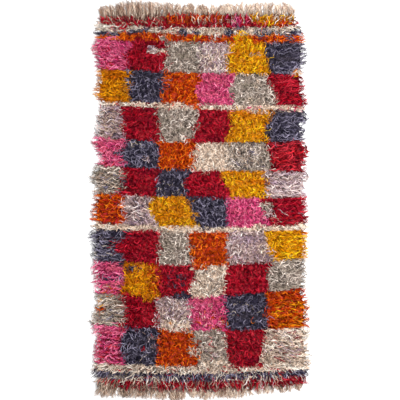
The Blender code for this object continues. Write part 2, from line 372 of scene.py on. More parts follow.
# Places where the weaver tied in another yarn: the middle, half the width and half the depth of
# an oval, in millimetres, and what share of its knots has the yarn, in percent
Stray = namedtuple("Stray", "x down half_width half_depth share yarn")
STRAYS = [Stray(*metres(row[:4]), row[4] / 100, row[5]) for row in (
    # In the bands at the upper end
    (-450, 82, 62, 16, 95, "navy"),
    (-315, 74, 36, 12, 95, "navy"),
    (-272, 64, 18, 14, 95, "navy"),
    (-190, 52, 12, 10, 80, "navy"),
    (-82, 78, 28, 18, 95, "navy"),
    (-20, 80, 18, 14, 90, "navy"),
    (142, 78, 20, 22, 95, "navy"),
    (190, 54, 24, 10, 60, "navy"),
    (300, 80, 38, 20, 90, "navy"),
    (375, 78, 34, 12, 90, "navy"),
    (470, 72, 36, 20, 95, "navy"),
    (430, 100, 20, 24, 80, "navy"),
    (-420, 56, 100, 16, 45, "silver"),
    (-425, 108, 30, 14, 70, "pink"),
    (-290, 100, 35, 11, 70, "crimson"),
    (-178, 106, 18, 16, 80, "silver"),
    (75, 100, 36, 16, 40, "mauve"),
    (-15, 100, 30, 14, 50, "gold"),
    (205, 100, 45, 38, 65, "gold"),
    (375, -4, 110, 20, 30, "ivory"),
    (110, 12, 160, 20, 20, "ivory"),
    (275, 4, 30, 26, 90, "gold"),
    (440, 0, 34, 26, 80, "gold"),
    (370, -2, 100, 22, 80, "gold"),
    (-80, 14, 90, 24, 75, "orange"),
    (55, 10, 70, 22, 68, "orange"),
    (370, 24, 95, 30, 58, "orange"),
    (185, 20, 16, 22, 70, "pink"),
    (170, 12, 100, 30, 18, "pink"),
    (380, 32, 110, 14, 12, "ivory"),
    (380, 24, 100, 20, 40, "gold"),
    (380, 30, 110, 16, 20, "pink"),
    (-385, 53, 45, 14, 75, "crimson"),
    (-172, 56, 30, 12, 55, "crimson"),
    (0, 62, 540, 16, 10, "crimson"),
    (0, 105, 520, 18, 12, "crimson"),
    (-260, 18, 260, 22, 32, "warp"),
    (0, 62, 540, 16, 30, "silver"),
    # In the squares, a row at a time from the upper end
    (-237, 160, 22, 20, 35, "silver"),
    (-237, 160, 22, 20, 85, "mauve"),
    (-195, 167, 35, 9, 70, "ivory"),
    (265, 185, 30, 8, 50, "silver"),
    (465, 269, 26, 18, 50, "ivory"),
    (465, 269, 26, 18, 90, "gold"),
    (-430, 232, 10, 22, 60, "orange"),
    (65, 195, 75, 80, 32, "ivory"),
    (-430, 190, 75, 60, 12, "crimson"),
    (430, 350, 90, 70, 30, "coral"),
    (250, 408, 60, 14, 35, "ivory"),
    (290, 432, 60, 10, 60, "ivory"),
    (290, 460, 60, 7, 60, "ivory"),
    (290, 325, 30, 30, 35, "ivory"),
    (136, 446, 22, 12, 60, "ivory"),
    (-20, 440, 24, 13, 50, "orange"),
    (0, 442, 520, 14, 12, "coral"),
    (300, 448, 220, 12, 12, "pink"),
    (-300, 424, 220, 14, 14, "coral"),
    (-58, 603, 24, 11, 60, "orange"),
    (-440, 520, 70, 80, 9, "navy"),
    (-440, 520, 70, 80, 40, "warp"),
    (-440, 500, 60, 16, 25, "navy"),
    (-305, 618, 45, 11, 50, "silver"),
    (-385, 662, 30, 10, 80, "navy"),
    (-254, 692, 24, 12, 60, "mauve"),
    (-440, 670, 75, 70, 12, "coral"),
    (240, 670, 90, 65, 16, "warp"),
    (240, 680, 90, 65, 17, "navy"),
    (-430, 810, 75, 65, 13, "navy"),
    (-430, 800, 75, 65, 22, "warp"),
    (19, 752, 24, 11, 50, "ivory"),
    (-145, 820, 60, 50, 5, "silver"),
    (322, 918, 30, 22, 90, "silver"),
    (335, 960, 24, 25, 80, "mauve"),
    (350, 985, 45, 10, 50, "crimson"),
    (372, 985, 22, 18, 35, "ivory"),
    (420, 985, 80, 22, 60, "coral"),
    (20, 1028, 30, 11, 45, "navy"),
    (290, 1020, 30, 11, 50, "ivory"),
    (58, 1047, 22, 9, 50, "ivory"),
    (-136, 1026, 30, 11, 40, "gold"),
    (440, 945, 80, 10, 10, "mauve"),
    (-145, 940, 80, 55, 40, "ochre"),
    (-435, 950, 75, 65, 28, "coral"),
    (-310, 950, 50, 65, 9, "navy"),
    (310, 1120, 26, 50, 35, "ivory"),
    (345, 1165, 30, 30, 35, "mauve"),
    (-405, 1115, 35, 42, 28, "crimson"),
    (-460, 1110, 65, 70, 10, "silver"),
    (-425, 1270, 55, 7, 50, "navy"),
    (-420, 1310, 60, 6, 40, "silver"),
    (-225, 1275, 35, 75, 45, "orange"),
    (-305, 1222, 40, 8, 60, "navy"),
    (-380, 1195, 20, 16, 80, "navy"),
    (-35, 1320, 22, 26, 70, "ivory"),
    (10, 1217, 46, 13, 70, "orange"),
    (-290, 1290, 80, 75, 6, "orange"),
    (-290, 1290, 80, 75, 16, "gold"),
    (-135, 1285, 36, 30, 20, "navy"),
    (-110, 1280, 60, 60, 10, "navy"),
    (-335, 1220, 22, 8, 70, "navy"),
    (-345, 1352, 32, 10, 90, "crimson"),
    (45, 1275, 80, 75, 30, "silver"),
    (-440, 1335, 70, 22, 25, "orange"),
    (-85, 1360, 52, 20, 85, "navy"),
    (-370, 1372, 24, 13, 60, "crimson"),
    (-485, 1385, 18, 22, 50, "ochre"),
    (-480, 1423, 20, 14, 90, "orange"),
    (-120, 1500, 80, 32, 75, "ivory"),
    (-145, 1490, 24, 8, 60, "ochre"),
    (60, 1480, 80, 50, 14, "orange"),
    (60, 1450, 80, 70, 5, "ivory"),
    (220, 1465, 75, 35, 4, "orange"),
    (215, 1420, 80, 40, 7, "silver"),
    (-365, 1500, 30, 20, 60, "crimson"),
    (-440, 1463, 65, 4, 60, "navy"),
    (-440, 1430, 75, 70, 22, "warp"),
    (-440, 1430, 75, 70, 5, "navy"),
    (-115, 1466, 70, 3, 20, "navy"),
    (-130, 1440, 70, 50, 24, "warp"),
    (-250, 1372, 26, 11, 80, "ochre"),
    (430, 1440, 90, 70, 16, "gold"),
    (430, 1440, 90, 70, 16, "ochre"),
    (-36, 1622, 20, 24, 60, "ivory"),
    (-58, 1530, 22, 13, 50, "ivory"),
    (60, 1600, 70, 70, 5, "crimson"),
    (60, 1580, 70, 70, 10, "mauve"),
    (400, 1590, 100, 80, 8, "crimson"),
    (400, 1590, 100, 80, 18, "mauve"),
    (-280, 1580, 70, 70, 8, "mauve"),
    (-280, 1580, 70, 60, 5, "crimson"),
    (55, 1610, 75, 80, 18, "ivory"),
    (215, 1600, 80, 85, 35, "coral"),
    (-440, 1610, 75, 85, 24, "coral"),
    # In the bands at the lower end
    (-480, 1790, 45, 30, 90, "warp"),
    (-380, 1748, 70, 14, 45, "silver"),
    (-250, 1795, 60, 16, 50, "warp"),
    (75, 1690, 95, 24, 50, "ivory"),
    (-260, 1756, 260, 14, 34, "ivory"),
    (260, 1750, 260, 14, 27, "ivory"),
    (0, 1750, 520, 14, 8, "coral"),
    (-250, 1714, 260, 18, 35, "silver"),
    (0, 1712, 520, 18, 14, "coral"),
    (0, 1790, 520, 26, 20, "warp"),
    (0, 1785, 520, 30, 10, "mauve"),
)]

# Places where the pile leans one way: a middle and a reach round it, in millimetres, and the way
# and strength
Lean = namedtuple("Lean", "x down reach degrees strength")
LEANS = [Lean(*metres(row[:3]), *row[3:]) for row in (
    (65, 180, 80, 60, 2.0),
    (240, 150, 80, 95, 1.5),
    (-270, 670, 80, 180, 1.2),
    (-220, 190, 80, 5, 1.5),
    (-300, 940, 90, 150, 1.5),
    (-130, 940, 90, 170, 1.2),
    (400, 810, 90, -35, 2.6),
    (60, 1600, 80, -85, 1.0),
    (400, 1600, 100, -30, 3.0),
    (-280, 1600, 80, -140, 1.0),
    (60, 1120, 70, -80, 0.8),
    (-80, 360, 70, 80, 1.0),
)]

Knot = namedtuple("Knot", "place heading turn reach lift droop shade curl girth dye")


def yarn_colour(yarn):
    """The property that holds a yarn's base colour."""
    return FloatVectorProperty(
        name=yarn.capitalize(),
        description=f"Base colour of the {yarn} yarn",
        subtype="COLOR",
        size=3,
        min=0,
        max=1,
        default=YARNS[yarn].base,
    )


def measure(name, description, default, least):
    """A property that holds a length."""
    return FloatProperty(
        name=name, description=description, default=default, min=least, unit="LENGTH"
    )


class RugColours(bpy.types.PropertyGroup):
    """Base colours of the yarns, linear."""

    __annotations__ = {yarn: yarn_colour(yarn) for yarn in YARNS}


class RugSizes(bpy.types.PropertyGroup):
    """Sizes of the pile and the weave."""

    strand_length: measure(
        "Strand Length", "Mean length of a strand of pile, from its knot to its tip", 0.044, 0.01
    )
    strand_thickness: measure(
        "Strand Thickness", "Mean thickness of a strand of pile near its root", 0.0039, 0.001
    )
    strand_points: IntProperty(
        name="Strand Points",
        description="Points along a strand, from its root to its tip",
        default=6,
        min=3,
        max=12,
    )
    knot_pitch: measure(
        "Knot Pitch", "Distance between neighbouring strands in a row of knots", 0.0030, 0.001
    )
    pile_lift: measure("Pile Lift", "Height at which the upper strands lie", 0.027, 0.005)
    wave: measure("Wave", "How far a strand's waves swing to either side", 0.0055, 0)
    fringe_thickness: measure(
        "Fringe Thickness", "Mean thickness of a warp end near its root", 0.0043, 0.001
    )
    weave_thickness: measure("Weave Thickness", "Thickness of the ground weave", 0.004, 0.001)


class Plan:
    """Adds nodes to a tree. Each input is joined to a socket or set to a value."""

    ROW_LENGTH = 10
    SPACING = Vector((220, -260))

    def __init__(self, tree):
        self.tree = tree

    def feed(self, node, inputs):
        """Gives a node its inputs, in their order or by name."""
        usable = [socket for socket in node.inputs if socket.enabled]
        if isinstance(inputs, dict):
            pairs = [(next(s for s in usable if s.name == n), v) for n, v in inputs.items()]
        else:
            pairs = zip(usable, inputs)
        for socket, value in pairs:
            if isinstance(value, bpy.types.NodeSocket):
                self.tree.links.new(value, socket)
            elif value is not None:
                socket.default_value = value

    def add(self, kind, inputs=(), **settings):
        """A new node with its settings and inputs."""
        count = len(self.tree.nodes)
        node = self.tree.nodes.new(kind)
        node.location = (
            self.SPACING.x * (count % self.ROW_LENGTH),
            self.SPACING.y * (count // self.ROW_LENGTH),
        )
        for name, value in settings.items():
            setattr(node, name, value)
        self.feed(node, inputs)
        return node

    def out(self, kind, inputs=(), **settings):
        """The first usable output of a new node."""
        node = self.add(kind, inputs, **settings)
        return next(socket for socket in node.outputs if socket.enabled)

    def math(self, operation, *values):
        return self.out("ShaderNodeMath", values, operation=operation)

    def plus(self, first, second):
        return self.math("ADD", first, second)

    def minus(self, first, second):
        return self.math("SUBTRACT", first, second)

    def times(self, *values):
        """The values multiplied, from the first to the last."""
        product, *others = values
        for value in others:
            product = self.math("MULTIPLY", product, value)
        return product

    def over(self, first, second):
        return self.math("DIVIDE", first, second)

    def power(self, value, exponent):
        return self.math("POWER", value, exponent)

    def mapped(self, value, low, high, to_low, to_high):
        """value moved from one range to another, and kept inside it."""
        return self.out("ShaderNodeMapRange", (value, low, high, to_low, to_high))

    def grey(self, level):
        return self.out("ShaderNodeCombineXYZ", (level, level, level))

    def mixed(self, share, first, second, blend="MIX"):
        """Two colours mixed."""
        return self.add(
            "ShaderNodeMix",
            {"Factor": share, "A": first, "B": second},
            data_type="RGBA",
            blend_type=blend,
        ).outputs["Result"]


def new_tree(name, kind, inputs, outputs):
    """A node tree with named sockets, (name, kind, default or None) each."""
    tree = bpy.data.node_groups.new(name, kind)
    for side, sockets in (("INPUT", inputs), ("OUTPUT", outputs)):
        for label, socket, default in sockets:
            made = tree.interface.new_socket(
                label, in_out=side, socket_type=f"NodeSocket{socket}"
            )
            if default is not None:
                made.default_value = default
    return tree


def strand_tree():
    """Geometry Nodes: every point of a knot row grows one curly, tapered, closed strand."""
    tree = new_tree(
        "Pile Strands",
        "GeometryNodeTree",
        (
            ("Knots", "Geometry", None),
            ("Thickness", "Float", 0.005),
            ("Points", "Int", 6),
            ("Wave", "Float", 0.005),
            ("Blunt Tip", "Float", 0.3),
            ("Chart Columns", "Int", 10),
            ("Chart Rows", "Int", 10),
            ("Seed", "Int", RANDOM_SEED),
            ("Wool", "Material", None),
        ),
        (("Strands", "Geometry", None),),
    )
    plan = Plan(tree)
    given = plan.add("NodeGroupInput").outputs

    def read(name):
        return plan.out("GeometryNodeInputNamedAttribute", (name,), data_type="FLOAT")

    def chance(low, high, step):
        """A random number for each knot."""
        seed = plan.plus(given["Seed"], step)
        return plan.out(
            "FunctionNodeRandomValue",
            {"Min": low, "Max": high, "Seed": seed},
            data_type="FLOAT",
        )

    def store(geometry, name, value, data_type="FLOAT", domain="POINT"):
        return plan.out(
            "GeometryNodeStoreNamedAttribute",
            {"Geometry": geometry, "Name": name, "Value": value},
            data_type=data_type,
            domain=domain,
        )

    knots = given["Knots"]
    knots = store(knots, "number", plan.out("GeometryNodeInputIndex"))
    knots = store(knots, "phase", chance(0, math.tau, 1))
    knots = store(knots, "cycles", chance(*WAVES, 2))
    knots = store(knots, "swing", chance(*SWINGS, 3))

    line = plan.out("GeometryNodeCurvePrimitiveLine", {"Start": (0, 0, 0), "End": (0, 0, 1)})
    line = plan.out("GeometryNodeResampleCurve", {"Curve": line, "Count": given["Points"]})
    strands = plan.out("GeometryNodeInstanceOnPoints", {"Points": knots, "Instance": line})
    strands = plan.out("GeometryNodeRealizeInstances", (strands,))
    strands = store(strands, "along", plan.out("GeometryNodeSplineParameter"))

    # The middle line: an arc on the plane, a wave across it, and a rise that levels off
    along = read("along")
    gone = plan.power(along, BEND_POWER)
    heading, turn, reach = read("heading"), read("turn"), read("reach")
    now = plan.math("MULTIPLY_ADD", turn, gone, heading)
    radius = plan.over(reach, turn)
    sine_now, cosine_now = plan.math("SINE", now), plan.math("COSINE", now)
    arc_x = plan.minus(sine_now, plan.math("SINE", heading))
    arc_y = plan.minus(plan.math("COSINE", heading), cosine_now)
    angle = plan.plus(plan.times(along, read("cycles"), math.tau), read("phase"))
    size = plan.times(given["Wave"], read("swing"), read("curl"), plan.math("SQRT", along))
    across = plan.times(plan.math("SINE", angle), size)
    aside = plan.times(across, plan.times(sine_now, -1.0))
    x = plan.math("MULTIPLY_ADD", arc_x, radius, aside)
    y = plan.math("MULTIPLY_ADD", arc_y, radius, plan.times(across, cosine_now))
    risen = plan.minus(1.0, plan.power(plan.minus(1.0, along), RISE_POWER))
    fallen = plan.times(read("droop"), plan.power(along, DROOP_POWER))
    z = plan.times(read("lift"), plan.times(risen, plan.minus(1.0, fallen)))
    bob = plan.times(plan.math("COSINE", angle), plan.times(size, BOB))
    z = plan.plus(z, plan.times(bob, along))
    z = plan.math("MAXIMUM", plan.plus(z, ROOT_HEIGHT), FLOOR_REST)
    z = plan.minus(z, plan.plus(along, ROOT_HEIGHT))
    offset = plan.out("ShaderNodeCombineXYZ", (x, y, z))
    strands = plan.out("GeometryNodeSetPosition", {"Geometry": strands, "Offset": offset})

    # The cross-section, drawn in towards the tip
    ring = plan.out(
        "GeometryNodeCurvePrimitiveCircle", {"Resolution": STRAND_SIDES, "Radius": 1.0}
    )
    place = plan.add("GeometryNodeSplineParameter").outputs["Index"]
    ring = store(ring, "around", plan.over(place, STRAND_SIDES - 1))
    slim = plan.times(plan.minus(1.0, given["Blunt Tip"]), plan.power(along, TAPER_POWER))
    half = plan.times(plan.minus(1.0, slim), plan.times(given["Thickness"], 0.5))
    tubes = plan.out(
        "GeometryNodeCurveToMesh",
        {
            "Curve": strands,
            "Profile Curve": ring,
            "Scale": plan.times(half, read("girth")),
            "Fill Caps": True,
        },
    )
    tubes = plan.out("GeometryNodeSetShadeSmooth", {"Geometry": tubes, "Shade Smooth": True})

    # Each strand has its own place on the bake chart
    number = read("number")
    column = plan.math("MODULO", number, given["Chart Columns"])
    row = plan.math("FLOOR", plan.over(number, given["Chart Columns"]))
    share = 1 - 2 * UV_MARGIN
    u = plan.plus(column, plan.math("MULTIPLY_ADD", read("around"), share, UV_MARGIN))
    v = plan.plus(row, plan.math("MULTIPLY_ADD", read("along"), share, UV_MARGIN))
    u, v = plan.over(u, given["Chart Columns"]), plan.over(v, given["Chart Rows"])
    chart = plan.out("ShaderNodeCombineXYZ", (u, v, 0.0))
    tubes = store(tubes, "OFBake", chart, "FLOAT2", "CORNER")
    tubes = plan.out("GeometryNodeRealizeInstances", (tubes,))
    tubes = plan.out("GeometryNodeSetMaterial", {"Geometry": tubes, "Material": given["Wool"]})
    plan.add("NodeGroupOutput", (tubes,))
    return tree


def new_object(name, data):
    """An object in the scene."""
    made = bpy.data.objects.new(name, data)
    bpy.context.scene.collection.objects.link(made)
    return made


def grown(name, knots, material, sizes, thickness, blunt):
    """A plain mesh of one strand for each knot. blunt is its tip's thickness against its root's."""
    mesh = bpy.data.meshes.new(name)
    mesh.from_pydata([knot.place for knot in knots], [], [])
    for field in Knot._fields[1:]:
        attribute = mesh.attributes.new(field, "FLOAT", "POINT")
        attribute.data.foreach_set("value", [getattr(knot, field) for knot in knots])
    made = new_object(name, mesh)
    tree = bpy.data.node_groups.get("Pile Strands") or strand_tree()
    growth = made.modifiers.new("Pile Strands", "NODES")
    growth.node_group = tree
    columns = math.ceil(math.sqrt(len(knots) * CHART_STRETCH))
    given = {
        "Thickness": thickness,
        "Points": sizes.strand_points,
        "Wave": sizes.wave,
        "Blunt Tip": blunt,
        "Chart Columns": columns,
        "Chart Rows": math.ceil(len(knots) / columns),
        "Seed": RANDOM_SEED,
        "Wool": material,
    }
    for item in tree.interface.items_tree:
        if item.in_out == "INPUT" and item.name in given:
            growth[item.identifier] = given[item.name]
    depsgraph = bpy.context.evaluated_depsgraph_get()
    plain = bpy.data.meshes.new_from_object(
        made.evaluated_get(depsgraph), preserve_all_data_layers=True, depsgraph=depsgraph
    )
    made.modifiers.clear()
    made.data = plain
    plain.name = name
    bpy.data.meshes.remove(mesh)
    spent = set(Knot._fields) - {"shade", "dye"} | {"number", "phase", "cycles", "swing"}
    for field in spent & set(plain.attributes.keys()):
        plain.attributes.remove(plain.attributes[field])
    return made


def wander(place, lane, length):
    """A smooth random number from -1 to 1 along a line."""
    return noise.noise(Vector((place / length, lane, 0.5)))


def rim_x(down, inset=RIM_INSET):
    """X of the left and right ends of a row of knots."""
    left = interpolated(EDGE_DOWNS, LEFT_EDGES, down)
    right = interpolated(EDGE_DOWNS, RIGHT_EDGES, down)
    left += RIM_WANDER * wander(down, RIM_LANES[0], RIM_WANDER_LENGTH)
    right += RIM_WANDER * wander(down, RIM_LANES[1], RIM_WANDER_LENGTH)
    return left + inset, right - inset


def x_at(across, down, inset=RIM_INSET):
    """X of a place in a row of knots; across runs from -1 at the row's left end to 1."""
    left, right = rim_x(down, inset)
    return (left + right) / 2 + across * (right - left) / 2


def course_edge(number, across):
    """How far down a course's lower edge lies; across runs from -1 at the left rim to 1."""
    left, middle, right = COURSES[number].lower if number >= 0 else UPPER_EDGE
    edge = middle + (right - left) / 2 * across + ((left + right) / 2 - middle) * across**2
    if number >= 0 and COURSES[number].seams:
        edge += EDGE_WOBBLE * wander(across / 2, number, WOBBLE_LENGTH)
    return edge


def down_at(across, share):
    """How far down a place lies, a share of the way from the pile's upper to its lower edge."""
    upper, lower = course_edge(-1, across), course_edge(len(COURSES) - 1, across)
    return upper + (lower - upper) * share


def yarn_at(x, down, course, across, chance):
    """The yarn that the pattern has at that place of a course."""
    for stray in STRAYS:
        apart = math.hypot(
            (x - stray.x) / stray.half_width, (down - stray.down) / stray.half_depth
        )
        if apart < 1 and chance.random() < stray.share:
            return stray.yarn
    yarns = COURSES[course].yarns
    if len(yarns) == 1:
        return yarns[0]
    upper, lower = course_edge(course - 1, across), course_edge(course, across)
    share = (down - upper) / (lower - upper)
    square = 0
    for number, levels in enumerate(zip(*COURSES[course].seams)):
        seam = interpolated(SEAM_LEVELS, levels, share)
        seam += SEAM_WOBBLE * wander(down, number, WOBBLE_LENGTH)
        looseness = wander(down, number + SEAM_SCATTER_LANE, SEAM_SCATTER_LENGTH)
        seam += chance.gauss(0, interpolated(SEAM_SCATTER_NOISE, SEAM_SCATTER, looseness))
        square += x > seam
    return yarns[square]


def interpolated(places, values, place):
    """The value at a place, on straight lines between those given."""
    for i in range(len(places) - 1):
        if place <= places[i + 1]:
            break
    share = min(1.0, max(0.0, (place - places[i]) / (places[i + 1] - places[i])))
    return values[i] + (values[i + 1] - values[i]) * share


def smooth_step(low, high, value):
    share = min(1.0, max(0.0, (value - low) / (high - low)))
    return share * share * (3 - 2 * share)


def sweep_at(x, down, gather):
    """The way the pile is swept there. gather is how far it is to the row's own middle line."""
    depth = down_at(0.0, 1)
    outward = smooth_step(SWEEP_START, SWEEP_FULL, abs(x)) * SWEEP
    upper_depth, lower_depth = END_SWEEP_DEPTHS
    upward = smooth_step(upper_depth, 0, down) - smooth_step(depth - lower_depth, depth, down)
    lock = (math.floor(x / LOCK_PITCH) + 0.5) * LOCK_PITCH
    drawn = abs(upward) * (lock - x) / LOCK_PITCH * LOCK_DRAW
    spot = Vector((x, down, 0)) / SWIRL_LENGTH
    swirl = Vector(noise.noise(spot + Vector((0, 0, plane))) for plane in SWIRL_PLANES)
    swept = Vector(
        (math.copysign(outward, x) + drawn, upward * END_SWEEP + outward * gather)
    )
    for lean in LEANS:
        near = smooth_step(lean.reach, 0, math.hypot(x - lean.x, down - lean.down))
        way = math.radians(lean.degrees)
        swept += Vector((math.cos(way), math.sin(way))) * lean.strength * near
    return swept + swirl * SWIRL


def bent(turn):
    """A turn kept large enough for its strand to lie on an arc."""
    return math.copysign(max(abs(turn), LEAST_TURN), turn)


def pile_knot(x, down, row_down, rise, yarn, sizes, chance):
    """One knot of the pile, with the way its strand will lie."""
    left, right = rim_x(down)
    depth = down_at(0.0, 1)
    rim = min(x - left, right - x, down, depth - down)
    gather = (down - row_down) * DRAWN_IN / sizes.strand_length
    sweep = sweep_at(x, down, gather)
    any_way = chance.uniform(0, math.tau)
    total = sweep + Vector((math.cos(any_way), math.sin(any_way)))
    heading = math.atan2(total.y, total.x)
    swept = min(1.0, sweep.length / SWEEP)
    turn = chance.gauss(0, TURN_SPREAD) * (1 - SWEPT_TURN * swept)
    reach = sizes.strand_length * (UPRIGHT_REACH + (1 - UPRIGHT_REACH) * swept)
    clump = noise.noise(Vector((x / CLUMP[0], down / CLUMP[1], CLUMP_PLANE)))
    reach *= chance.uniform(*REACH_RANGE) * (1 + CLUMP_REACH * clump)
    girth = chance.uniform(*GIRTH_RANGE)
    curl = YARNS[yarn].curl * (1 - SWEPT_CURL * swept)
    back = reach * CENTRED
    place = (
        x - back * math.cos(heading + turn / 2),
        FIELD_TOP - down - back * math.sin(heading + turn / 2),
        ROOT_HEIGHT,
    )
    level = min(1.0, max(0.0, chance.random() + CLUMP_HEIGHT * clump))
    droop = smooth_step(RIM_DROOP_WIDTH, 0, rim)
    # A random tone, pulled towards painted shade where the strand lies low and painted highlight
    # where it lies high, except where it droops at the rims
    shade = chance.random()
    shade += (level - shade) * HEIGHT_PAINTED_SHADE * (1 - droop)
    # Painted shade in the furrows between the rows, near the rims, and lighter along the rows'
    # middles
    furrow_shade = FURROW_SHADE * (abs(down - row_down) - FURROW_LEVEL)
    shade -= furrow_shade * smooth_step(SWEEP_START, SWEEP_FULL, abs(x))
    if chance.random() < (RIM_HAIR_SHARE if rim < RIM_HAIR_WIDTH else HAIR_SHARE):
        reach = min(HAIR_LENGTH, reach * chance.uniform(*HAIR_STRETCH))
        girth = chance.uniform(*HAIR_GIRTH)
        curl *= HAIR_CURL
        turn = chance.gauss(0, HAIR_TURN)
        shade = chance.uniform(*(RIM_HAIR_SHADES if rim < RIM_HAIR_WIDTH else HAIR_SHADES))
    spot = Vector((x / DYE_BAND[0], down / DYE_BAND[1], 0))
    dye = min(1.0, DYE_STRENGTH * max(0.0, noise.noise(spot)))
    if chance.random() < YARNS[yarn].flecks:
        dye = chance.uniform(*FLECK_DYE)
    return Knot(
        place=place,
        heading=heading,
        turn=bent(turn),
        reach=reach,
        lift=sizes.pile_lift * rise * (LOWEST_LIFT + LIFT_RANGE * level),
        droop=droop * chance.uniform(*DROOP_RANGE),
        shade=shade,
        curl=curl,
        girth=girth,
        dye=dye,
    )


def tied_pile(sizes):
    """All knots of the pile, a list for each yarn."""
    chance = random.Random(RANDOM_SEED)
    knots = {yarn: [] for yarn in YARNS}
    for number, course in enumerate(COURSES):
        for row in range(course.rows):
            share = (row + 0.5) / course.rows
            left, right = rim_x(course.lower[1])
            count = round((right - left) / sizes.knot_pitch)
            for place in range(count):
                across = 2 * (place + chance.random()) / count - 1
                upper, lower = course_edge(number - 1, across), course_edge(number, across)
                row_down = upper + (lower - upper) * share
                depth = (lower - upper) / course.rows
                scatter = interpolated(ROW_SCATTER_PLACES, ROW_SCATTER, abs(across))
                down = row_down + chance.uniform(-1, 1) * scatter * depth
                x = x_at(across, down)
                yarn = yarn_at(x, down, number, across, chance)
                knot = pile_knot(x, down, row_down, course.rise, yarn, sizes, chance)
                knots[yarn].append(knot)
    return knots


def fringe_knots(fringe, chance):
    """The warp ends of a fringe, a tuft at a time."""
    steps = [2 * i / (len(fringe.reaches) - 1) - 1 for i in range(len(fringe.reaches))]
    knots = []
    for tuft in range(TUFTS):
        along = 2 * (tuft + 0.5) / TUFTS - 1
        lean = chance.gauss(fringe.lean, TUFT_LEAN)
        full = interpolated(steps, fringe.fullness, along)
        fill = TUFT_FILL * full * chance.uniform(*TUFT_WIDTH)
        bend = chance.gauss(0, TUFT_BEND)
        tall = chance.uniform(*TUFT_HEIGHT)
        root = interpolated(steps, fringe.roots, along) * chance.uniform(*TUFT_ROOT)
        tone = interpolated(steps, fringe.tones, along) + chance.uniform(*TUFT_TONE)
        if chance.random() < fringe.bald:
            tall *= SHORT_TUFT
        for _ in range(round(STRANDS_IN_TUFT * full)):
            spread = chance.uniform(-0.5, 0.5)
            across = 2 * (tuft + 0.5 + spread * fill) / TUFTS - 1
            down = down_at(across, (1 - fringe.side) / 2)
            inward = root * chance.uniform(*END_ROOT)
            left, right = rim_x(down)
            pitch = (right - left) / TUFTS
            drawn = lean - spread * pitch * fill * (1 - TUFT_CLOSE)
            drawn += chance.gauss(0, STRAND_STRAY)
            reach = interpolated(steps, fringe.reaches, across) * tall
            point = 1 - TUFT_POINT * abs(spread * 2) ** TUFT_POINT_POWER
            reach = reach * (chance.uniform(*END_REACH) * point) + inward
            turn = bend + chance.gauss(0, END_BEND)
            y = FIELD_TOP - down - inward * fringe.side
            knots.append(Knot(
                place=(x_at(across, down), y, ROOT_HEIGHT),
                heading=math.atan2(fringe.side * reach, drawn),
                turn=bent(turn),
                reach=reach,
                lift=chance.uniform(END_LIFTS[0], END_LIFTS[1] + ROOT_LIFT * inward),
                droop=chance.uniform(*END_DROOP),
                shade=chance.gauss(tone, END_SHADE),
                curl=YARNS["warp"].curl * chance.uniform(*END_CURL),
                girth=chance.uniform(*END_GIRTH),
                dye=chance.random() ** END_DYE_POWER,
            ))
    return knots


def weave_mesh(thickness, colours):
    """The ground weave: two sheets of squares in the pattern's colours, joined all round."""
    chance = random.Random(RANDOM_SEED)
    lines = round(down_at(0.0, 1) * WEAVE_LINES_PER_METRE)
    points = []
    for level in (0, 1):
        for line in range(lines + 1):
            for column in range(WEAVE_COLUMNS + 1):
                across = 2 * column / WEAVE_COLUMNS - 1
                down = down_at(across, line / lines)
                swell = chance.random() * WEAVE_SWELL
                z = thickness + swell if level else WEAVE_SWELL - swell
                points.append((x_at(across, down, WEAVE_INSET), FIELD_TOP - down, z))
    width = WEAVE_COLUMNS + 1
    upper = width * (lines + 1)
    faces = []
    yarns = []
    for line in range(lines):
        for column in range(WEAVE_COLUMNS):
            corner = line * width + column
            square = (corner, corner + 1, corner + 1 + width, corner + width)
            faces.append(square)
            faces.append(tuple(upper + i for i in reversed(square)))
            across = 2 * (column + 0.5) / WEAVE_COLUMNS - 1
            down = down_at(across, (line + 0.5) / lines)
            x = x_at(across, down, WEAVE_INSET)
            inside = [down <= course_edge(i, across) + EDGE_SLACK for i in range(len(COURSES))]
            yarns += [yarn_at(x, down, inside.index(True), across, chance)] * 2
    rim = list(range(width))
    rim += [line * width + WEAVE_COLUMNS for line in range(1, lines + 1)]
    rim += [lines * width + column for column in reversed(range(WEAVE_COLUMNS))]
    rim += [line * width for line in reversed(range(1, lines))]
    for corner, after in zip(rim, rim[1:] + rim[:1]):
        faces.append((corner, corner + upper, after + upper, after))
        yarns.append("warp")
    mesh = bpy.data.meshes.new("ground_weave")
    mesh.from_pydata(points, [], faces)
    mesh.update()
    shades = mesh.attributes.new("knot_colour", "FLOAT_COLOR", "CORNER")
    for face, yarn in zip(mesh.polygons, yarns):
        for corner in face.loop_indices:
            shades.data[corner].color = (*getattr(colours, yarn), 1)
    return mesh


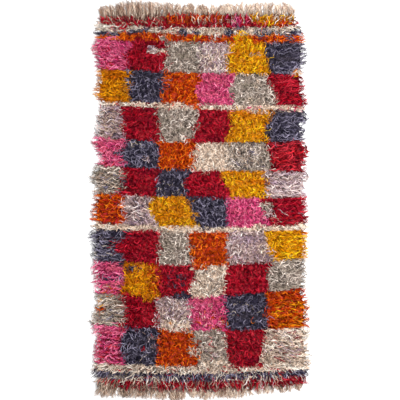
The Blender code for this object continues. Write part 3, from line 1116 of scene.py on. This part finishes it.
def wool_group():
    """Shader group: the colour and the relief of a strand, from its own shade and along it, with
    painted shade at its root and painted streaks of light and shade along it.
    """
    tree = new_tree(
        "Wool Strand",
        "ShaderNodeTree",
        (
            ("Dark Colour", "Color", None),
            ("Base Colour", "Color", None),
            ("Pale Colour", "Color", None),
            ("Fleck Colour", "Color", None),
            ("Root Shade Level", "Float", ROOT_SHADE_LEVEL),
            ("Streaks", "Float", PAINTED_STREAKS),
        ),
        (("Colour", "Color", None), ("Relief", "Float", None)),
    )
    plan = Plan(tree)
    given = plan.add("NodeGroupInput").outputs

    def read(name):
        return plan.add("ShaderNodeAttribute", attribute_name=name).outputs["Fac"]

    shade, along, around = read("shade"), read("along"), read("around")
    dark, middle, pale = SHADES
    from_dark = plan.mapped(shade, dark, middle, 0.0, 1.0)
    to_pale = plan.mapped(shade, middle, pale, 0.0, 1.0)
    colour = plan.mixed(from_dark, given["Dark Colour"], given["Base Colour"])
    colour = plan.mixed(to_pale, colour, given["Pale Colour"])
    fleck = plan.grey(plan.mapped(shade, 0.0, 1.0, *FLECK_LEVELS))
    fleck = plan.mixed(1.0, given["Fleck Colour"], fleck, "MULTIPLY")
    colour = plan.mixed(read("dye"), colour, fleck)

    # Brightness: painted shade at the roots, and painted streaks of light and shade along the
    # strand
    root = plan.mapped(along, *ROOT_SHADE_FADE, given["Root Shade Level"], 1.0)
    scaled = zip((along, shade, around), STREAK_SCALES)
    spot = plan.out("ShaderNodeCombineXYZ", [plan.times(value, scale) for value, scale in scaled])
    streak = plan.out("ShaderNodeTexNoise", {"Vector": spot, "Scale": 1.0, "Detail": 1.0})
    streak = plan.mapped(streak, *NOISE_RANGE, -1.0, 1.0)
    streak = plan.math("MULTIPLY_ADD", streak, given["Streaks"], 1.0)
    level = plan.grey(plan.times(root, streak))
    colour = plan.mixed(1.0, colour, level, "MULTIPLY")
    twist = plan.math("MULTIPLY_ADD", along, TWISTS, around)
    relief = plan.math("SINE", plan.times(twist, math.tau))
    plan.add("NodeGroupOutput", (colour, relief))
    return tree


def new_material(name):
    """A material, the plan of its tree and its shader."""
    material = bpy.data.materials.new(name)
    material.use_nodes = True
    tree = material.node_tree
    return material, Plan(tree), tree.nodes["Principled BSDF"]


def wool(name, base):
    """The material of one yarn."""
    yarn = YARNS[name]
    material, plan, shader = new_material(f"yarn_{name}")
    strand = plan.add("ShaderNodeGroup")
    strand.node_tree = bpy.data.node_groups.get("Wool Strand") or wool_group()
    plan.feed(strand, {
        "Dark Colour": (*yarn.dark, 1),
        "Base Colour": (*base, 1),
        "Pale Colour": (*yarn.pale, 1),
        "Fleck Colour": (*yarn.fleck, 1),
        "Root Shade Level": ROOT_SHADE_LEVEL,
        "Streaks": PAINTED_STREAKS,
    })
    relief = strand.outputs["Relief"]
    bump = plan.add("ShaderNodeBump", {"Strength": 0.35, "Distance": 0.0008, "Height": relief})
    plan.feed(shader, {
        "Base Color": strand.outputs["Colour"],
        "Roughness": 0.6,
        "Specular IOR Level": 0.03,
        "Sheen Weight": yarn.sheen,
        "Sheen Roughness": 0.4,
        "Normal": bump.outputs["Normal"],
    })
    return material


def weave_material():
    """The back of the rug: knots in rows over the warp, each in its yarn's colour, with painted
    shade in the gaps between the threads.
    """
    material, plan, shader = new_material("ground_weave")
    knots = plan.add("ShaderNodeAttribute", attribute_name="knot_colour").outputs["Color"]
    place = plan.add("ShaderNodeTexCoord").outputs["Object"]
    x, y, _ = plan.add("ShaderNodeSeparateXYZ", (place,)).outputs
    warp = plan.math("SINE", plan.times(x, math.tau / WARP_PITCH))
    weft = plan.math("SINE", plan.times(y, math.tau / WEFT_PITCH))
    relief = plan.plus(warp, weft)
    fleck = plan.out("ShaderNodeTexNoise", {"Vector": place, "Scale": 220.0, "Detail": 3.0})
    # Painted shade at the bottom of the gaps between the threads
    gap_shade = plan.mapped(relief, *WEAVE_GAPS, WEAVE_GAP_SHADE_LEVEL, 1.0)
    level = plan.times(gap_shade, plan.mapped(fleck, *NOISE_RANGE, *THREAD_LEVELS))
    bump = plan.add("ShaderNodeBump", {"Strength": 0.6, "Distance": 0.001, "Height": relief})
    plan.feed(shader, {
        "Base Color": plan.mixed(1.0, knots, plan.grey(level), "MULTIPLY"),
        "Roughness": 0.85,
        "Sheen Weight": 0.2,
        "Normal": bump.outputs["Normal"],
    })
    return material


class RUG_OT_ground_weave(bpy.types.Operator):
    """Weave the thin ground that the knots are tied into"""

    bl_idname = "rug.ground_weave"
    bl_label = "Ground Weave"

    def execute(self, context):
        scene = context.scene
        mesh = weave_mesh(scene.rug_sizes.weave_thickness, scene.rug_colours)
        mesh.materials.append(weave_material())
        made = new_object("ground_weave", mesh)
        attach(made, BODY)
        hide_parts("shag_field")
        return {"FINISHED"}


class RUG_OT_pile(bpy.types.Operator):
    """Tie the pile, a piece for each yarn"""

    bl_idname = "rug.pile"
    bl_label = "Pile"

    def execute(self, context):
        sizes = context.scene.rug_sizes
        colours = context.scene.rug_colours
        for name, knots in tied_pile(sizes).items():
            yarn = wool(name, getattr(colours, name))
            made = grown(f"pile_{name}", knots, yarn, sizes, sizes.strand_thickness, PILE_TIP)
            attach(made, BODY)
            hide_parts("shag_field")
        return {"FINISHED"}


class RUG_OT_fringes(bpy.types.Operator):
    """Draw out the warp ends in tufts beyond both ends of the weave"""

    bl_idname = "rug.fringes"
    bl_label = "Fringes"

    def execute(self, context):
        sizes = context.scene.rug_sizes
        chance = random.Random(RANDOM_SEED)
        material = bpy.data.materials["yarn_warp"]
        for end, fringe in FRINGES.items():
            knots = fringe_knots(fringe, chance)
            made = grown(
                f"warp_ends_{end}", knots, material, sizes, sizes.fringe_thickness, END_TIP
            )
            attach(made, BODY)
            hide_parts(f"fringe_{end}")
        left, right = rim_x(down_at(0.0, 0.5), WEAVE_INSET)
        depth = down_at(0.0, 1) - down_at(0.0, 0)
        return {"FINISHED"}


class RUG_OT_stage(bpy.types.Operator):
    """Lay the pale floor, and set up the camera above it and the soft lights"""

    bl_idname = "rug.stage"
    bl_label = "Stage"

    def execute(self, context):
        scene = context.scene
        half = FLOOR_SIZE / 2
        mesh = bpy.data.meshes.new("floor")
        corners = [(-half, -half, 0), (half, -half, 0), (half, half, 0), (-half, half, 0)]
        mesh.from_pydata(corners, [], [(0, 1, 2, 3)])
        floor = new_object("floor", mesh)
        paint, plan, shader = new_material("floor")
        white = (FLOOR_WHITE, FLOOR_WHITE, FLOOR_WHITE, 1)
        plan.feed(shader, {"Base Color": white, "Roughness": FLOOR_ROUGHNESS})
        mesh.materials.append(paint)

        camera = new_object("camera", bpy.data.cameras.new("camera"))
        camera.data.lens = VIEW_LENS
        camera.data.sensor_width = VIEW_SENSOR
        distance = PHOTO_WIDTH * VIEW_LENS / VIEW_SENSOR
        camera.location = (0, 0, PILE_LEVEL + distance)
        scene.camera = camera

        for name, lamp in LAMPS.items():
            light = bpy.data.lights.new(name, "AREA")
            light.size = lamp.size
            light.energy = lamp.power
            made = new_object(name, light)
            made.location = lamp.place
            made.rotation_euler = (-made.location).to_track_quat("-Z", "Y").to_euler()
        world = bpy.data.worlds.new("studio")
        world.use_nodes = True
        sky = world.node_tree.nodes["Background"]
        sky.inputs["Color"].default_value = (1, 1, 1, 1)
        sky.inputs["Strength"].default_value = SKY_STRENGTH
        scene.world = world
        scene.view_settings.view_transform = "Standard"
        return {"FINISHED"}


class RUG_PT_maker(bpy.types.Panel):
    """Lists the rug's pieces and their settings"""

    bl_idname = "RUG_PT_maker"
    bl_label = "Long-Pile Rug"
    bl_space_type = "VIEW_3D"
    bl_region_type = "UI"
    bl_category = "Rug"

    def draw(self, context):
        for operator in OPERATORS:
            self.layout.operator(operator.bl_idname)
        for group in (context.scene.rug_sizes, context.scene.rug_colours):
            for name in group.bl_rna.properties.keys():
                if name not in ("rna_type", "name"):
                    self.layout.prop(group, name)


OPERATORS = (RUG_OT_ground_weave, RUG_OT_pile, RUG_OT_fringes, RUG_OT_stage)
CLASSES = (RugColours, RugSizes, *OPERATORS, RUG_PT_maker)


def register():
    for made in CLASSES:
        bpy.utils.register_class(made)
    bpy.types.Scene.rug_colours = PointerProperty(type=RugColours)
    bpy.types.Scene.rug_sizes = PointerProperty(type=RugSizes)


def unregister():
    del bpy.types.Scene.rug_sizes
    del bpy.types.Scene.rug_colours
    for made in reversed(CLASSES):
        bpy.utils.unregister_class(made)


def main():
    register()
    bpy.ops.rug.ground_weave()
    bpy.ops.rug.pile()
    bpy.ops.rug.fringes()
    bpy.ops.rug.stage()


if __name__ == "__main__":
    main()
